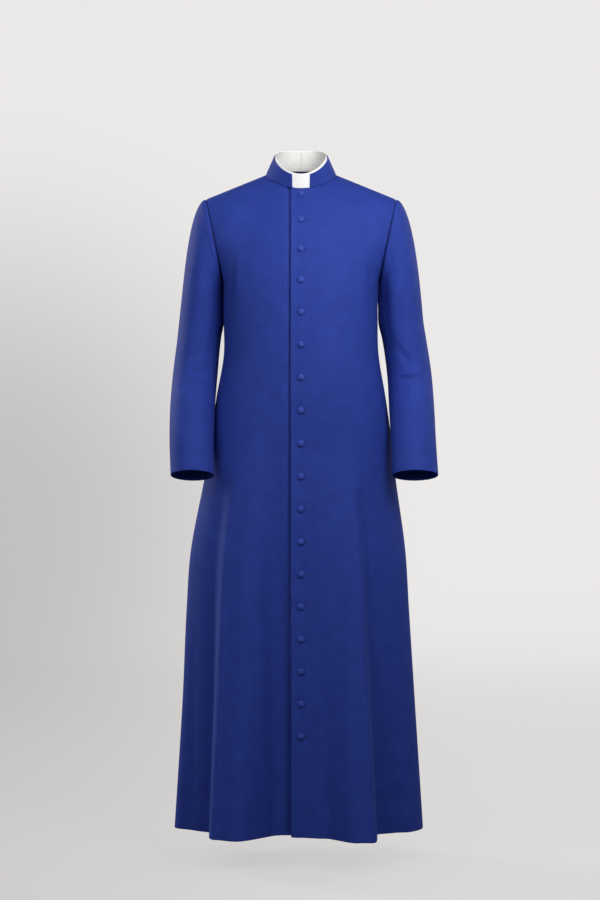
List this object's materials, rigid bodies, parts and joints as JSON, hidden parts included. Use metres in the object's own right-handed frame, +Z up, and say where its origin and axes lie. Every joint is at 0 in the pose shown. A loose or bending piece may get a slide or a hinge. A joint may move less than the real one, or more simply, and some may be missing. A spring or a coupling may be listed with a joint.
{
  "type": "cassock",
  "caption": "Ankle-length single-breasted clerical cassock, worn and hollow: set-in two-piece sleeves, notched stand collar with a white insert, and a closed front of domed buttons",
  "frame": {"origin": "midpoint between the two neck points, where the collar seam meets the shoulder seams, at the place where the wearer's neck and shoulders hold the garment", "axes": "+Z up, +X to the wearer's left, and the wearer faces -Y"},
  "size_m": [0.5947, 0.3701, 1.5331],
  "materials": {
    "worsted": "royal blue worsted wool, fine plain weave with a soft matte face",
    "button_cloth": "the same worsted stretched over a domed button mould",
    "insert": "smooth white starched cotton band"
  },
  "bodies": {
    "root": {"front_left": "worsted", "front_right": "worsted", "back_left": "worsted", "back_right": "worsted", "top_sleeve_left": "worsted", "top_sleeve_right": "worsted", "under_sleeve_left": "worsted", "under_sleeve_right": "worsted", "collar": "worsted", "collar_insert": "insert", "button_01": "button_cloth", "button_02": "button_cloth", "button_03": "button_cloth", "button_04": "button_cloth", "button_05": "button_cloth", "button_06": "button_cloth", "button_07": "button_cloth", "button_08": "button_cloth", "button_09": "button_cloth", "button_10": "button_cloth", "button_11": "button_cloth", "button_12": "button_cloth", "button_13": "button_cloth", "button_14": "button_cloth", "button_15": "button_cloth", "button_16": "button_cloth", "button_17": "button_cloth", "button_18": "button_cloth"}
  },
  "joints": []
}
